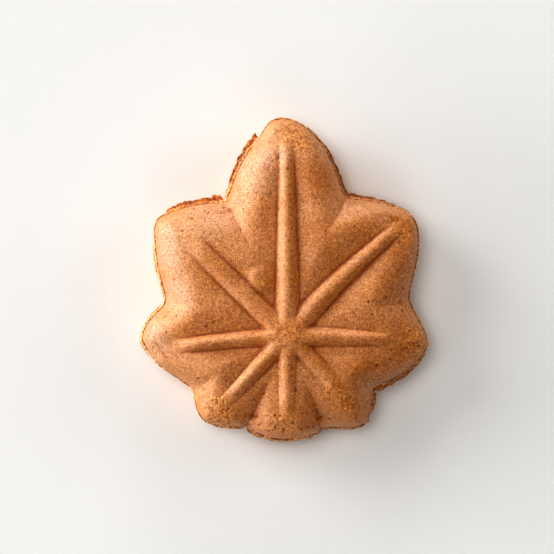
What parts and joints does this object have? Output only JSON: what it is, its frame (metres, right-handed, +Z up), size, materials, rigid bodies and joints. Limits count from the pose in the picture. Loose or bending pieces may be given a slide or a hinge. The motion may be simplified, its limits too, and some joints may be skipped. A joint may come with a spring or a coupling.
{
  "type": "maple leaf cake",
  "caption": "Golden-brown filled sponge cake baked in a maple leaf mould, with raised veins on both faces and a thin seam round its edge.",
  "frame": {"origin": "bottom centre of the cake's box, on the plane that it lies on", "axes": "+Z up, through the thickness; +Y towards the longest lobe; +X to the right, seen from above"},
  "size_m": [0.0626, 0.0702, 0.0214],
  "materials": {
    "crust": "matt golden-brown baked sponge crust with fine pores and an orange, crumbly seam"
  },
  "bodies": {
    "root": {"maple_leaf_cake": "crust"}
  },
  "joints": []
}
